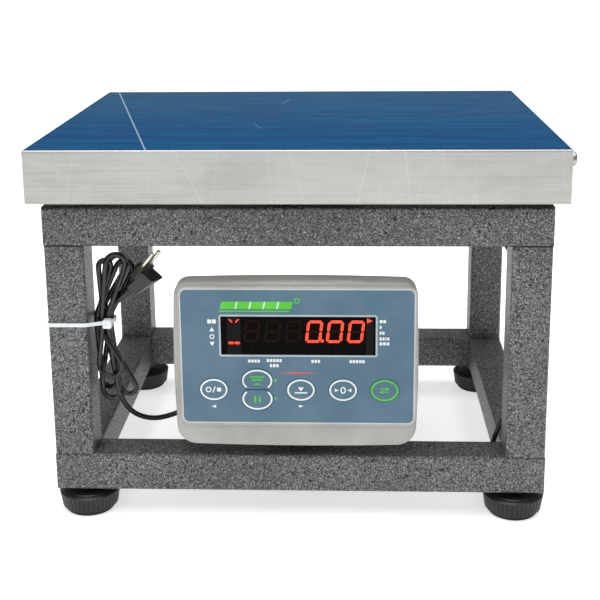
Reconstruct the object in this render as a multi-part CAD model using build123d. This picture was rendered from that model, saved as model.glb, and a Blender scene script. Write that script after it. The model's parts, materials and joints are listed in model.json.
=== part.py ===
from build123d import *
import os
from math import cos, pi, radians, sin, tan

# Bench and chassis scale: a welded box-section stand on four levelling feet, a single point load cell
# with a platform spider and a lift-off pan, and a tilting indicator on the front bottom rail.
# Millimetres. X runs right, Y runs away from the reader of the display, Z is up, the floor is z = 0.

# ---------- stand ----------
FRAME_W = 476
FRAME_D = 376
FRAME_BASE_Z = 30
FRAME_H = 286
TUBE = 38
WALL = 2
TUBE_R = 3
END_PLATE = 2
M6_R = 3
M6_HEAD_R = 5
M6_HOLE_R = 3.3
M8_R = 4
M8_AF = 13
M8_HOLE_R = 4.3

FRAME_TOP_Z = FRAME_BASE_Z + FRAME_H
TOP_RAIL_Z = FRAME_TOP_Z - TUBE / 2
BOTTOM_RAIL_Z = FRAME_BASE_Z + TUBE / 2
POST_X = FRAME_W / 2 - TUBE / 2
POST_Y = FRAME_D / 2 - TUBE / 2
POST_INNER_X = FRAME_W / 2 - TUBE
POST_INNER_Y = FRAME_D / 2 - TUBE
RAIL_L = FRAME_W - 2 * END_PLATE
SIDE_RAIL_L = 2 * POST_INNER_Y
POST_L = FRAME_H - 2 * TUBE

# ---------- pan and its support ----------
PAN_W = 500
PAN_D = 400
PAN_TOP_Z = 371.8
PAN_SKIRT = 50
PAN_SHEET = 1.5
PAN_FOLD_R = 1.4
PAN_CORNER_R = 1.6
FILM = 0.2
FILM_MARGIN = 1.5
SIDE_SCREW_Y = -191.5
SIDE_SCREW_Z = 362
SIDE_SCREW_R = 2.5
SIDE_HEAD_R = 6.5
SIDE_HEAD_H = 4
CELL_W, CELL_L, CELL_H = 30, 130, 22
CELL_SPRING_R = 7.5
CELL_SPRING_Y = 13
CELL_THREAD = 8
CELL_TAP_R = 3.05
M6_HEAD_H = 6
LOWER_SPACER = 3
UPPER_SPACER = 3.5
ACCESS_R = 6.5
SPACER_L = 32
PLATE_W, PLATE_D, PLATE_T = 70, 150, 5
BAR_H = 16
BAR_W = 20
BAR_X = 45
BAR_Y = 140
X_BAR_L = 430
PAD_R = 9
STOP_GAP = 1
STOP_X = 208
LEVEL_Y = 60
LEVEL_R = 9

CELL_Z = FRAME_TOP_Z + LOWER_SPACER
CELL_TOP_Z = CELL_Z + CELL_H
PLATE_Z = CELL_TOP_Z + UPPER_SPACER
BAR_Z = PLATE_Z + PLATE_T
BAR_TOP_Z = BAR_Z + BAR_H
PAN_UNDER_Z = PAN_TOP_Z - PAN_SHEET
SPACER_Y = CELL_L / 2 - SPACER_L / 2
CELL_BOLT_Y = (SPACER_Y - 8, SPACER_Y + 8)

# ---------- levelling feet ----------
FOOT_X = 212
FOOT_Y = 162
STUD_R = 4.9
NUT_BORE_R = 5.1
NUT_AF = 17
NUT_H = 8
FOOT_HOLE_R = 5.6
FOOT_H = 55
KNOB_R = 30
KNOB_BASE_R = 27.5
KNOB_Z = 5
KNOB_BAND_TOP = 20
KNOB_TOP = 26
KNOB_RIBS = 40
RIB_GROOVE_R = 1.15
PAD_DISC_R = 24
PAD_BOSS_R = 8
RUN_GAP = 0.3
STUD_SEAT = 6

# ---------- indicator ----------
PIVOT_Y = -118
PIVOT_Z = 163
HOUSING_X = -1.5
HOUSING_HALF_W = 114
HOUSING_BULGE = 2.5
HOUSING_BOTTOM = 82
HOUSING_TOP = 244.5
HOUSING_ARCH = 2
TOP_CORNER_R = 13
BOTTOM_CORNER_R = 19
LEAST_CORNER_R = 3
REAR_DRAFT = 12
HOUSING_FRONT = -194.2
SPLIT_Y = -172
HOUSING_REAR = -137
SHELL = 2.5
PANEL_X = 0.5
PANEL_W = 222
PANEL_BOTTOM = 105.5
PANEL_TOP = 240.5
PANEL_R = 7
RIM = 2
PLATEAU_FRONT = -197.2
OVERLAY_FRONT = -197
OVERLAY_T = 0.8
SHELL_INNER = -191.5
PANE_X0, PANE_X1, PANE_Z0, PANE_Z1 = -71.7, 74.1, 175, 213
PANE_FRONT = -196.9
PANE_T = 1.4
PANE_LIP = 2
BOARD_Y = -186
BOARD_T = 1.6
HUMP_X = 70
HUMP_Z0, HUMP_Z1 = 88, 128
HUMP_REAR = -110
GLAND_Y = -124
MAINS_GLAND_Z = 98
CELL_GLAND_X = 30
MAINS_NECK_R = 5.3
CELL_NECK_R = 4.3
GLAND_CLEARANCE = 0.25
SWITCH_X = 88
SWITCH_Z = 120
SWITCH_HALF_W, SWITCH_HALF_H = 6.5, 9.5
ROCKER_PIVOT_Y = -140
ROCKER_ANGLE = 8
ROCKER_PIN_R = 1.2
SHELL_SCREWS = [(-95, 102), (92, 102), (-95, 223), (92, 223)]
LUG_X0, LUG_X1 = 24, 32.7
LUG_R = 10
HINGE_BOLT_R = 3
HINGE_BORE_R = 3.2
TILT_KNOB_R = 11.5
TILT_KNOB_L = 11
TILT_KNOB_LOBES = 8

# name: centre x, centre z, half width, half height
KEYS = {
    "gross_net_key": (-79.5, 140, 13.5, 11),
    "print_key": (-38, 149.2, 15, 12),
    "hold_key": (-38, 130.8, 15, 12),
    "tare_key": (3.5, 140, 13.5, 11),
    "zero_key": (43.5, 140, 13.5, 11),
    "unit_key": (82.8, 140, 13.5, 11),
}
PAIRED_KEYS = ("print_key", "hold_key")
PAIR_MID_Z = 140
PAIR_GAP = 0.4
KEY_FRONT = -197.5
KEY_FLANGE_FRONT = -191.1
KEY_FLANGE_T = 1
KEY_FLANGE = 1.2
KEY_CLEARANCE = 0.4

# ---------- bracket ----------
BRACKET_X = 35.5
BRACKET_T = 2.5
BRACKET_BASE_Z = 36
BRACKET_REAR = -90
BRACKET_TOP = 178
EAR_FRONT = -128
EAR_BASE_Z = 146
BRACKET_BOLT_X = 20

# ---------- cords ----------
LEAD_D = 5.2
LEAD_ROUTE = [
    (-92, -124, 98),
    (-110, -125.5, 93.5),
    (-128, -131.5, 86),
    (-147, -141, 84.5),
    (-163, -150.5, 92.5),
    (-173, -157.5, 106),
    (-177, -162, 122),
]
# centre x, centre y, z, half width, half depth of the tied hank, from its bottom loops to its top ones
HANK_SECTIONS = [
    (-174, -168, 117, 11, 5),
    (-174.5, -169, 130, 16.5, 10),
    (-177, -170, 160, 17.5, 12),
    (-185, -170, 186, 13, 11),
    (-188, -170, 197, 10.8, 10.6),
    (-188, -170, 205, 10.8, 10.6),
    (-176, -170, 226, 15, 12),
    (-174.5, -170, 250, 16.5, 11.5),
    (-174.5, -170, 270, 8, 5),
]
TIE_Z = 200.8
TIE_BAND = 3.6
TIE_T = 1.3
TIE_WAIST = (-188, -170, 10.9)
TIE_HEAD = (-181.5, -183.6, 200.8)
PLUG_FACE = (-144.9, -170, 254.9)
PLUG_AXIS = (0.62, 0, 0.785)
PLUG_WIDTH_DIR = (0.19, 0.97, -0.15)
NOSE_W, NOSE_T, NOSE_L = 31, 9.5, 13
GRIP_FRONT, GRIP_REAR = 3, 26
GRIP_OFFSET = 10
GRIP_T = 16
SLEEVE_END = 43
SLEEVE_TIP_R = 3.4
PIN_R = 2
PIN_L = 17
PIN_SPACING = 18.6
CELL_CABLE_D = 5
CELL_BOSS_R = 3.5
CABLE_WALL_Y = -146.4
CELL_CABLE_ROUTE = [
    (30, -124, 73),
    (33, -126, 58),
    (52, -134, 49),
    (84, -143, 46),
    (120, CABLE_WALL_Y, 47),
    (168, CABLE_WALL_Y, 47.5),
    (191, CABLE_WALL_Y, 57),
    (197, CABLE_WALL_Y, 80),
    (209, CABLE_WALL_Y, 102),
    (214, CABLE_WALL_Y, 134),
    (215, CABLE_WALL_Y, 184),
    (214, CABLE_WALL_Y, 232),
    (206, CABLE_WALL_Y, 261),
    (192, CABLE_WALL_Y, 279),
    (169, CABLE_WALL_Y, 292),
    (120, CABLE_WALL_Y, 296),
    (68, CABLE_WALL_Y, 297),
    (38, -137, 300),
    (25, -110, 304),
    (26, -80, 311),
    (30, -56, 322),
    (31, -41, 328),
    (19, -40, 329),
]
CLIP_SPOTS = [
    (146, CABLE_WALL_Y, 47.3, "x"),
    (214.5, CABLE_WALL_Y, 158, "z"),
    (214.6, CABLE_WALL_Y, 208, "z"),
    (95, CABLE_WALL_Y, 296.5, "x"),
]
CLIP_CLEARANCE = 0.5


def block(x0, x1, y0, y1, z0, z1):
    """Box between two opposite corners."""
    centre = ((x0 + x1) / 2, (y0 + y1) / 2, (z0 + z1) / 2)
    return Pos(*centre) * Box(x1 - x0, y1 - y0, z1 - z0)


def rod(start, end, radius):
    """Round bar from one point to another."""
    path = Vector(*end) - Vector(*start)
    return extrude(Plane(origin=start, z_dir=path) * Circle(radius), path.length)


def hex_bar(centre, height, across_flats, bore=0):
    """Upright hexagonal nut or bolt head standing on the given point."""
    profile = RegularPolygon(across_flats / 2, 6, major_radius=False)
    if bore:
        profile -= Circle(bore)
    return extrude(Plane(origin=centre) * profile, height)


def prism_y(profile, y_front, y_back):
    """Extrude a profile drawn in X and Z between two depths."""
    return extrude(Plane.XZ.offset(-y_back) * profile, y_back - y_front)


def mirrored(shapes):
    """The shapes and their mirror images on the other side of the middle."""
    return shapes + [shape.mirror(Plane.YZ) for shape in shapes]


def rounded_route(points):
    """Straight runs joined by tangent arcs, each as large as its two runs allow."""
    corners = [Vector(*point) for point in points]
    radii = []
    for before, corner, after in zip(corners, corners[1:], corners[2:]):
        shorter = min((corner - before).length, (after - corner).length)
        turn = radians((corner - before).get_angle(after - corner))
        radii.append(0.45 * shorter / tan(turn / 2))
    return FilletPolyline(*corners, radius=radii), radii


def round_cord(name, points, diameter):
    """Round cord along a route; says how tight it turns and that its volume fits its length."""
    path, radii = rounded_route(points)
    start = Plane(origin=path @ 0, z_dir=path % 0)
    tube = sweep(start * Circle(diameter / 2), path=path)
    expected = pi * diameter ** 2 / 4 * path.length
    print(name, "length", round(path.length, 1), "arc radii", [round(radius, 1) for radius in radii])
    print(name, "volume", round(tube.volume, 1), "section times length", round(expected, 1))
    return tube


# ---------- stand ----------
def square_tube(length):
    """Square hollow section with rounded edges, centred on the origin and running along Z."""
    profile = RectangleRounded(TUBE, TUBE, TUBE_R)
    profile -= RectangleRounded(TUBE - 2 * WALL, TUBE - 2 * WALL, TUBE_R - WALL)
    return extrude(profile, length / 2, both=True)


def cross_rail(y, z):
    return Pos(0, y, z) * Rot(0, 90, 0) * square_tube(RAIL_L)


def foot_hole(x, y):
    """Hole through the underside of a bottom rail for a foot's stud."""
    return rod((x, y, FRAME_BASE_Z - 1), (x, y, FRAME_BASE_Z + WALL + 2), FOOT_HOLE_R)


def front_bottom_rail():
    rail = cross_rail(-POST_Y, BOTTOM_RAIL_Z)
    for side in (-1, 1):
        rail -= foot_hole(side * FOOT_X, -FOOT_Y)
        bolt_x = side * BRACKET_BOLT_X
        inside = (bolt_x, -POST_INNER_Y - 5, BOTTOM_RAIL_Z)
        rail -= rod(inside, (bolt_x, -POST_INNER_Y + 1, BOTTOM_RAIL_Z), M6_HOLE_R)
    return rail


def rear_bottom_rail():
    rail = cross_rail(POST_Y, BOTTOM_RAIL_Z)
    for side in (-1, 1):
        rail -= foot_hole(side * FOOT_X, FOOT_Y)
    return rail


def corner_posts():
    post_z = (FRAME_BASE_Z + FRAME_TOP_Z) / 2
    return mirrored([Pos(POST_X, y, post_z) * square_tube(POST_L) for y in (-POST_Y, POST_Y)])


def side_rails(z, with_stop_holes):
    rail = Pos(POST_X, 0, z) * Rot(90, 0, 0) * square_tube(SIDE_RAIL_L)
    if with_stop_holes:
        for y in (-BAR_Y, BAR_Y):
            rail -= rod((STOP_X, y, FRAME_TOP_Z - 6), (STOP_X, y, FRAME_TOP_Z + 1), M8_HOLE_R)
    return mirrored([rail])


def load_cell_beam():
    beam = Pos(0, 0, TOP_RAIL_Z) * Rot(90, 0, 0) * square_tube(SIDE_RAIL_L)
    for y in CELL_BOLT_Y:
        beam -= rod((0, y, TOP_RAIL_Z), (0, y, FRAME_TOP_Z + 1), M6_HOLE_R)
        beam -= rod((0, y, FRAME_TOP_Z - TUBE - 1), (0, y, TOP_RAIL_Z), ACCESS_R)
    return beam


def rail_end_plates():
    plates = []
    for y in (-POST_Y, POST_Y):
        for z in (BOTTOM_RAIL_Z, TOP_RAIL_Z):
            face = Plane(origin=(RAIL_L / 2, y, z), x_dir=(0, 1, 0), z_dir=(1, 0, 0))
            plates.append(extrude(face * RectangleRounded(TUBE, TUBE, TUBE_R), END_PLATE))
    return mirrored(plates)


def foot_weld_nuts():
    nuts = []
    for y in (-FOOT_Y, FOOT_Y):
        nuts.append(hex_bar((FOOT_X, y, FRAME_BASE_Z + WALL), NUT_H, NUT_AF, NUT_BORE_R))
    return mirrored(nuts)


# ---------- weighing parts ----------
def load_cell():
    """Single point cell with its two joined spring holes and a cable boss on its side."""
    body = block(-CELL_W / 2, CELL_W / 2, -CELL_L / 2, CELL_L / 2, CELL_Z, CELL_TOP_Z)
    body = fillet(body.edges().filter_by(Axis.Z), 1)
    middle = CELL_Z + CELL_H / 2
    for y in (-CELL_SPRING_Y, CELL_SPRING_Y):
        body -= rod((-CELL_W, y, middle), (CELL_W, y, middle), CELL_SPRING_R)
    body -= block(-CELL_W, CELL_W, -CELL_SPRING_Y, CELL_SPRING_Y, middle - 2, middle + 2)
    cable_x, cable_y, cable_z = CELL_CABLE_ROUTE[-1]
    body += rod((CELL_W / 2 - 1, cable_y, cable_z), (cable_x, cable_y, cable_z), CELL_BOSS_R)
    return body


def load_cell_spacers():
    half_w = CELL_W / 2
    half_l = SPACER_L / 2
    lower = block(-half_w, half_w, SPACER_Y - half_l, SPACER_Y + half_l, FRAME_TOP_Z, CELL_Z)
    upper = block(-half_w, half_w, -SPACER_Y - half_l, -SPACER_Y + half_l, CELL_TOP_Z, PLATE_Z)
    for y in CELL_BOLT_Y:
        lower -= rod((0, y, FRAME_TOP_Z - 1), (0, y, CELL_Z + 1), M6_HOLE_R)
        upper -= rod((0, -y, CELL_TOP_Z - 1), (0, -y, PLATE_Z + 1), M6_HOLE_R)
    return [lower, upper]


def load_cell_bolts():
    """Two screws up through the beam into the fixed end, two down through the plate into the live end."""
    bolts = []
    for y in CELL_BOLT_Y:
        lower_seat = FRAME_TOP_Z - WALL
        lower = rod((0, y, lower_seat - M6_HEAD_H), (0, y, lower_seat), M6_HEAD_R)
        bolts.append(lower + rod((0, y, lower_seat - 1), (0, y, CELL_Z + CELL_THREAD - 1), M6_R))
        upper = rod((0, -y, BAR_Z), (0, -y, BAR_Z + M6_HEAD_H), M6_HEAD_R)
        bolts.append(upper + rod((0, -y, CELL_TOP_Z - CELL_THREAD + 1), (0, -y, BAR_Z + 1), M6_R))
    return bolts


def drilled_cell():
    cell = load_cell()
    for y in CELL_BOLT_Y:
        cell -= rod((0, y, CELL_Z - 1), (0, y, CELL_Z + CELL_THREAD), CELL_TAP_R)
        cell -= rod((0, -y, CELL_TOP_Z - CELL_THREAD), (0, -y, CELL_TOP_Z + 1), CELL_TAP_R)
    return cell


def platform_spider():
    """Centre plate with two long cross bars joined by two bars, each a separate welded piece."""
    plate = block(-PLATE_W / 2, PLATE_W / 2, -PLATE_D / 2, PLATE_D / 2, PLATE_Z, BAR_Z)
    for y in CELL_BOLT_Y:
        plate -= rod((0, -y, PLATE_Z - 1), (0, -y, BAR_Z + 1), M6_HOLE_R)
    pieces = [plate]
    inner_y = BAR_Y - BAR_W / 2
    for side in (-1, 1):
        x = side * BAR_X
        y = side * BAR_Y
        pieces.append(block(x - BAR_W / 2, x + BAR_W / 2, -inner_y, inner_y, BAR_Z, BAR_TOP_Z))
        pieces.append(block(-X_BAR_L / 2, X_BAR_L / 2, y - BAR_W / 2, y + BAR_W / 2, BAR_Z, BAR_TOP_Z))
    return pieces


def pan_support_pads():
    pads = []
    x = X_BAR_L / 2 - 22
    for y in (-BAR_Y, BAR_Y):
        pads.append(rod((x, y, BAR_TOP_Z), (x, y, PAN_UNDER_Z), PAD_R))
    return mirrored(pads)


def overload_stop_bolts():
    """Bolts that stand on the side rails and catch the cross bars when the pan is overloaded."""
    stops = []
    head_top = BAR_Z - STOP_GAP
    for y in (-BAR_Y, BAR_Y):
        bolt = rod((STOP_X, y, FRAME_TOP_Z - 8), (STOP_X, y, head_top), M8_R)
        bolt += hex_bar((STOP_X, y, head_top - 5), 5, M8_AF)
        bolt += hex_bar((STOP_X, y, FRAME_TOP_Z), 6.5, M8_AF)
        stops.append(bolt)
    return mirrored(stops)


def spirit_level():
    """Round bubble level stuck on the right side rail, seen when the pan is off."""
    base = Plane(origin=(POST_X, LEVEL_Y, FRAME_TOP_Z))
    body = extrude(base * Circle(LEVEL_R + 2), 2) + extrude(base * Circle(LEVEL_R), LEVEL_R)
    return fillet(body.faces().sort_by(Axis.Z)[-1].edges(), 1)


def weighing_pan():
    """Folded sheet pan, open below, with a screw hole near the front of its right skirt."""
    bottom = PAN_TOP_Z - PAN_SKIRT
    outer = block(-PAN_W / 2, PAN_W / 2, -PAN_D / 2, PAN_D / 2, bottom, PAN_TOP_Z)
    outer = fillet(outer.edges().filter_by(Axis.Z), PAN_CORNER_R)
    outer = fillet(outer.faces().sort_by(Axis.Z)[-1].edges(), PAN_FOLD_R)
    half_w = PAN_W / 2 - PAN_SHEET
    half_d = PAN_D / 2 - PAN_SHEET
    pan = outer - block(-half_w, half_w, -half_d, half_d, bottom - 1, PAN_UNDER_Z)
    hole_start = (half_w - 1, SIDE_SCREW_Y, SIDE_SCREW_Z)
    return pan - rod(hole_start, (PAN_W, SIDE_SCREW_Y, SIDE_SCREW_Z), SIDE_SCREW_R + 0.3)


def protective_film():
    half_w = PAN_W / 2 - FILM_MARGIN
    half_d = PAN_D / 2 - FILM_MARGIN
    return block(-half_w, half_w, -half_d, half_d, PAN_TOP_Z, PAN_TOP_Z + FILM)


def pan_side_screw():
    """Button head screw through the pan's right skirt, with its nut inside."""
    skirt_x = PAN_W / 2
    y, z = SIDE_SCREW_Y, SIDE_SCREW_Z
    head = rod((skirt_x, y, z), (skirt_x + SIDE_HEAD_H, y, z), SIDE_HEAD_R)
    head = fillet(head.faces().sort_by(Axis.X)[-1].edges(), SIDE_HEAD_H * 0.6)
    shank = rod((skirt_x - 8, y, z), (skirt_x + 1, y, z), SIDE_SCREW_R)
    nut_face = Plane(origin=(skirt_x - PAN_SHEET, y, z), z_dir=(-1, 0, 0))
    nut = extrude(nut_face * RegularPolygon(4, 6, major_radius=False), 4)
    return head + shank + nut


# ---------- bracket ----------
def indicator_bracket():
    """Folded strap: bolted flange, shelf, riser and two ears that carry the indicator's hinge."""
    wall = -POST_INNER_Y
    strap = block(-BRACKET_X, BRACKET_X, wall, wall + BRACKET_T, BRACKET_BASE_Z, 62)
    strap += block(-BRACKET_X, BRACKET_X, wall, BRACKET_REAR, BRACKET_BASE_Z, BRACKET_BASE_Z + BRACKET_T)
    riser_front = BRACKET_REAR - BRACKET_T
    strap += block(-BRACKET_X, BRACKET_X, riser_front, BRACKET_REAR, BRACKET_BASE_Z, BRACKET_TOP)
    for side in (-1, 1):
        inner, outer = sorted((side * BRACKET_X, side * (BRACKET_X - BRACKET_T)))
        ear = block(inner, outer, EAR_FRONT, riser_front, EAR_BASE_Z, BRACKET_TOP)
        front_edges = ear.edges().filter_by(Axis.X).group_by(Axis.Y)[0]
        strap += fillet(front_edges, 8)
        bolt_x = side * BRACKET_BOLT_X
        strap -= rod((bolt_x, wall - 1, BOTTOM_RAIL_Z), (bolt_x, wall + 5, BOTTOM_RAIL_Z), M6_HOLE_R)
    strap -= rod((-BRACKET_X - 1, PIVOT_Y, PIVOT_Z), (BRACKET_X + 1, PIVOT_Y, PIVOT_Z), HINGE_BORE_R)
    return strap


def bracket_bolts():
    bolts = []
    face = -POST_INNER_Y + BRACKET_T
    for x in (-BRACKET_BOLT_X, BRACKET_BOLT_X):
        bolt = rod((x, face - 14, BOTTOM_RAIL_Z), (x, face + 1, BOTTOM_RAIL_Z), M6_R)
        head = Plane(origin=(x, face, BOTTOM_RAIL_Z), z_dir=(0, 1, 0))
        nut = Plane(origin=(x, -POST_INNER_Y - WALL, BOTTOM_RAIL_Z), z_dir=(0, -1, 0))
        bolt += extrude(head * RegularPolygon(M6_HEAD_R, 6, major_radius=False), 4)
        bolt += extrude(nut * RegularPolygon(M6_HEAD_R, 6, major_radius=False), 5)
        bolts.append(bolt)
    return bolts


def tilt_knobs():
    """Hand knobs with bolts that clamp the indicator's lugs between the bracket's ears."""
    face = Plane(origin=(BRACKET_X, PIVOT_Y, PIVOT_Z), z_dir=(1, 0, 0))
    knob = extrude(face * Circle(7), 3)
    grip = extrude(face.offset(3) * Circle(TILT_KNOB_R), TILT_KNOB_L)
    for turn in range(TILT_KNOB_LOBES):
        angle = 2 * pi * turn / TILT_KNOB_LOBES
        notch_y = PIVOT_Y + (TILT_KNOB_R + 1.5) * cos(angle)
        notch_z = PIVOT_Z + (TILT_KNOB_R + 1.5) * sin(angle)
        grip -= rod((BRACKET_X + 2, notch_y, notch_z), (BRACKET_X + 16, notch_y, notch_z), 3)
    knob += fillet(grip.faces().sort_by(Axis.X)[-1].edges(), 0.8)
    knob += rod((LUG_X0 - 3, PIVOT_Y, PIVOT_Z), (BRACKET_X + 1, PIVOT_Y, PIVOT_Z), HINGE_BOLT_R)
    return mirrored([knob])


# ---------- indicator ----------
def housing_outline(inset=0):
    """Front view of the housing: bowed sides, a low arch above and below, and round corners."""
    half_w = HOUSING_HALF_W - inset
    bulge_w = half_w + HOUSING_BULGE
    bottom = HOUSING_BOTTOM + inset
    top = HOUSING_TOP - inset
    middle = (bottom + top) / 2
    corners = [(-half_w, bottom), (half_w, bottom), (half_w, top), (-half_w, top)]
    bows = [(0, bottom - HOUSING_ARCH), (bulge_w, middle), (0, top + HOUSING_ARCH), (-bulge_w, middle)]
    edges = []
    for index, bow in enumerate(bows):
        edges.append(ThreePointArc(corners[index], bow, corners[(index + 1) % 4]))
    face = make_face(Curve() + edges)
    low = face.vertices().group_by(Axis.Y)[0]
    face = fillet(low, max(BOTTOM_CORNER_R - inset, LEAST_CORNER_R))
    high = [vertex for vertex in face.vertices() if abs(vertex.Y - top) < 0.01]
    face = fillet(high, max(TOP_CORNER_R - inset, LEAST_CORNER_R))
    return Pos(HOUSING_X, 0) * face


def panel_shape(margin=0):
    """Outline of the front overlay, grown by a margin."""
    width = PANEL_W + 2 * margin
    height = PANEL_TOP - PANEL_BOTTOM + 2 * margin
    return Pos(PANEL_X, (PANEL_TOP + PANEL_BOTTOM) / 2) * RectangleRounded(width, height, PANEL_R + margin)


def pane_shape(margin=0):
    width = PANE_X1 - PANE_X0 + 2 * margin
    height = PANE_Z1 - PANE_Z0 + 2 * margin
    return Pos((PANE_X0 + PANE_X1) / 2, (PANE_Z0 + PANE_Z1) / 2) * Rectangle(width, height)


def key_shape(name, margin=0):
    """Oval key; the stacked pair meets on a straight line with a gap between the two."""
    x, z, half_w, half_h = KEYS[name]
    oval = Pos(x, z) * Ellipse(half_w + margin, half_h + margin)
    if name in PAIRED_KEYS:
        gap = PAIR_GAP - min(margin, PAIR_GAP - 0.1)
        low = PAIR_MID_Z + gap if name == PAIRED_KEYS[0] else PAIR_MID_Z - 40
        oval &= Pos(x, low + (40 - gap) / 2) * Rectangle(2 * half_w + 10, 40 - gap)
    return oval


def key_openings(solid, y_front, y_back):
    """Cut the key holes through a front wall; the pair shares one hole."""
    for x, z, half_w, half_h in KEYS.values():
        hole = Pos(x, z) * Ellipse(half_w + KEY_CLEARANCE, half_h + KEY_CLEARANCE)
        solid -= prism_y(hole, y_front, y_back)
    return solid


def indicator_front_shell():
    """Front half with the raised panel plateau, its pocket, the display window and the key holes."""
    shell = prism_y(housing_outline(), HOUSING_FRONT, SPLIT_Y)
    shell = fillet(shell.faces().sort_by(Axis.Y)[0].edges(), 5)
    plateau = prism_y(panel_shape(RIM), PLATEAU_FRONT, HOUSING_FRONT + 6)
    shell += chamfer(plateau.faces().sort_by(Axis.Y)[0].edges(), 0.8)
    shell -= prism_y(housing_outline(SHELL), SHELL_INNER, SPLIT_Y)
    shell -= prism_y(panel_shape(0.15), PLATEAU_FRONT, OVERLAY_FRONT + OVERLAY_T)
    shell -= prism_y(pane_shape(0.1), OVERLAY_FRONT, PANE_FRONT + PANE_T)
    shell -= prism_y(pane_shape(-PANE_LIP), OVERLAY_FRONT, SHELL_INNER)
    shell = key_openings(shell, OVERLAY_FRONT, SHELL_INNER)
    for x, z in SHELL_SCREWS:
        shell += rod((x, SHELL_INNER, z), (x, SPLIT_Y, z), 4)
        shell -= rod((x, SPLIT_Y - 14, z), (x, SPLIT_Y, z), 1.6)
    return shell


def tapered_back(inset, y_front, y_back):
    """Solid that follows the housing's outline and draws in towards the back."""
    front = Plane.XZ.offset(-y_front) * housing_outline(inset)
    back = Plane.XZ.offset(-y_back) * housing_outline(inset + REAR_DRAFT)
    return loft([front, back], ruled=True)


def indicator_rear_shell():
    """Tapered rear half: battery hump, hinge lugs and holes for the glands, switch and screws."""
    shell = tapered_back(0, SPLIT_Y, HOUSING_REAR)
    shell = fillet(shell.faces().sort_by(Axis.Y)[-1].edges(), 4)
    hump = block(-HUMP_X, HUMP_X, HOUSING_REAR - 8, HUMP_REAR, HUMP_Z0, HUMP_Z1)
    hump = fillet(hump.edges().filter_by(Axis.Y), 4)
    shell += fillet(hump.faces().sort_by(Axis.Y)[-1].edges(), 3)
    for x0, x1 in ((LUG_X0, LUG_X1), (-LUG_X1, -LUG_X0)):
        shell += rod((x0, PIVOT_Y, PIVOT_Z), (x1, PIVOT_Y, PIVOT_Z), LUG_R)
        shell += block(x0, x1, HOUSING_REAR - 1, PIVOT_Y, PIVOT_Z - LUG_R, PIVOT_Z + LUG_R)
    shell -= rod((-LUG_X1 - 1, PIVOT_Y, PIVOT_Z), (LUG_X1 + 1, PIVOT_Y, PIVOT_Z), HINGE_BORE_R)
    shell -= tapered_back(SHELL, SPLIT_Y, HOUSING_REAR - SHELL)
    hollow_x = HUMP_X - SHELL
    hollow_back = HUMP_REAR - SHELL
    shell -= block(-hollow_x, hollow_x, HOUSING_REAR - 10, hollow_back, HUMP_Z0 + SHELL, HUMP_Z1 - SHELL)
    shell -= battery_door(0.2)
    shell -= block(-48, 48, HUMP_REAR - 5, HUMP_REAR + 1, 95, 121)
    mains_hole = (-HUMP_X + 5, GLAND_Y, MAINS_GLAND_Z)
    shell -= rod((-HUMP_X - 1, GLAND_Y, MAINS_GLAND_Z), mains_hole, MAINS_NECK_R + 0.2)
    cell_hole = (CELL_GLAND_X, GLAND_Y, HUMP_Z0 + 5)
    shell -= rod((CELL_GLAND_X, GLAND_Y, HUMP_Z0 - 1), cell_hole, CELL_NECK_R + 0.2)
    shell -= switch_block(SWITCH_HALF_W + 0.1, SWITCH_HALF_H + 0.1, HOUSING_REAR - 5, HOUSING_REAR + 1)
    for x, z in SHELL_SCREWS:
        shell += rod((x, SPLIT_Y, z), (x, HOUSING_REAR - 1, z), 5)
        shell -= rod((x, SPLIT_Y - 1, z), (x, HOUSING_REAR + 1, z), 2.2)
        shell -= rod((x, HOUSING_REAR - 8, z), (x, HOUSING_REAR + 1, z), 3.8)
    return shell


def battery_door(margin=0):
    """Cover over the battery hatch on the back of the hump, set flush."""
    x = 52 + margin
    return block(-x, x, HUMP_REAR - 1.5, HUMP_REAR + margin, 92 - margin, 124 + margin)


def shell_screws():
    screws = []
    for x, z in SHELL_SCREWS:
        screw = rod((x, HOUSING_REAR - 8, z), (x, HOUSING_REAR - 5, z), 3.5)
        screws.append(screw + rod((x, SPLIT_Y - 12, z), (x, HOUSING_REAR - 7, z), 1.5))
    return screws


def front_overlay():
    """Thin printed panel with openings for the display pane and the keys."""
    overlay = prism_y(panel_shape(), OVERLAY_FRONT, OVERLAY_FRONT + OVERLAY_T)
    overlay -= prism_y(pane_shape(0.1), OVERLAY_FRONT - 1, OVERLAY_FRONT + 2)
    return key_openings(overlay, OVERLAY_FRONT - 1, OVERLAY_FRONT + 2)


def display_window():
    return prism_y(pane_shape(), PANE_FRONT, PANE_FRONT + PANE_T)


def led_display_module():
    """Six digit module that fills the display opening and stands on the board."""
    body = prism_y(pane_shape(-PANE_LIP - 0.5), PANE_FRONT + PANE_T + 1, BOARD_Y)
    return fillet(body.edges().filter_by(Axis.Y), 0.6)


def main_circuit_board():
    """Board with one dome switch behind each key."""
    board = block(-94, 92, BOARD_Y, BOARD_Y + BOARD_T, 116, 218)
    for x, z, *_ in KEYS.values():
        board += block(x - 3, x + 3, BOARD_Y - 3.2, BOARD_Y + 0.5, z - 3, z + 3)
    return board


def power_transformer():
    core = block(36, 80, -166, -142, 150, 186)
    core += block(42, 74, HOUSING_REAR - SHELL - 27, HOUSING_REAR - SHELL, 156, 180)
    return core


def battery():
    """Sealed battery lying in the hump behind its cover, with two tabs."""
    cell = fillet(block(-48.5, 48.5, -164, -113.5, 93, 117).edges().filter_by(Axis.Y), 1.5)
    for x in (-36, 36):
        cell += block(x - 2.4, x + 2.4, -170, -163, 104, 105)
    return cell


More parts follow.
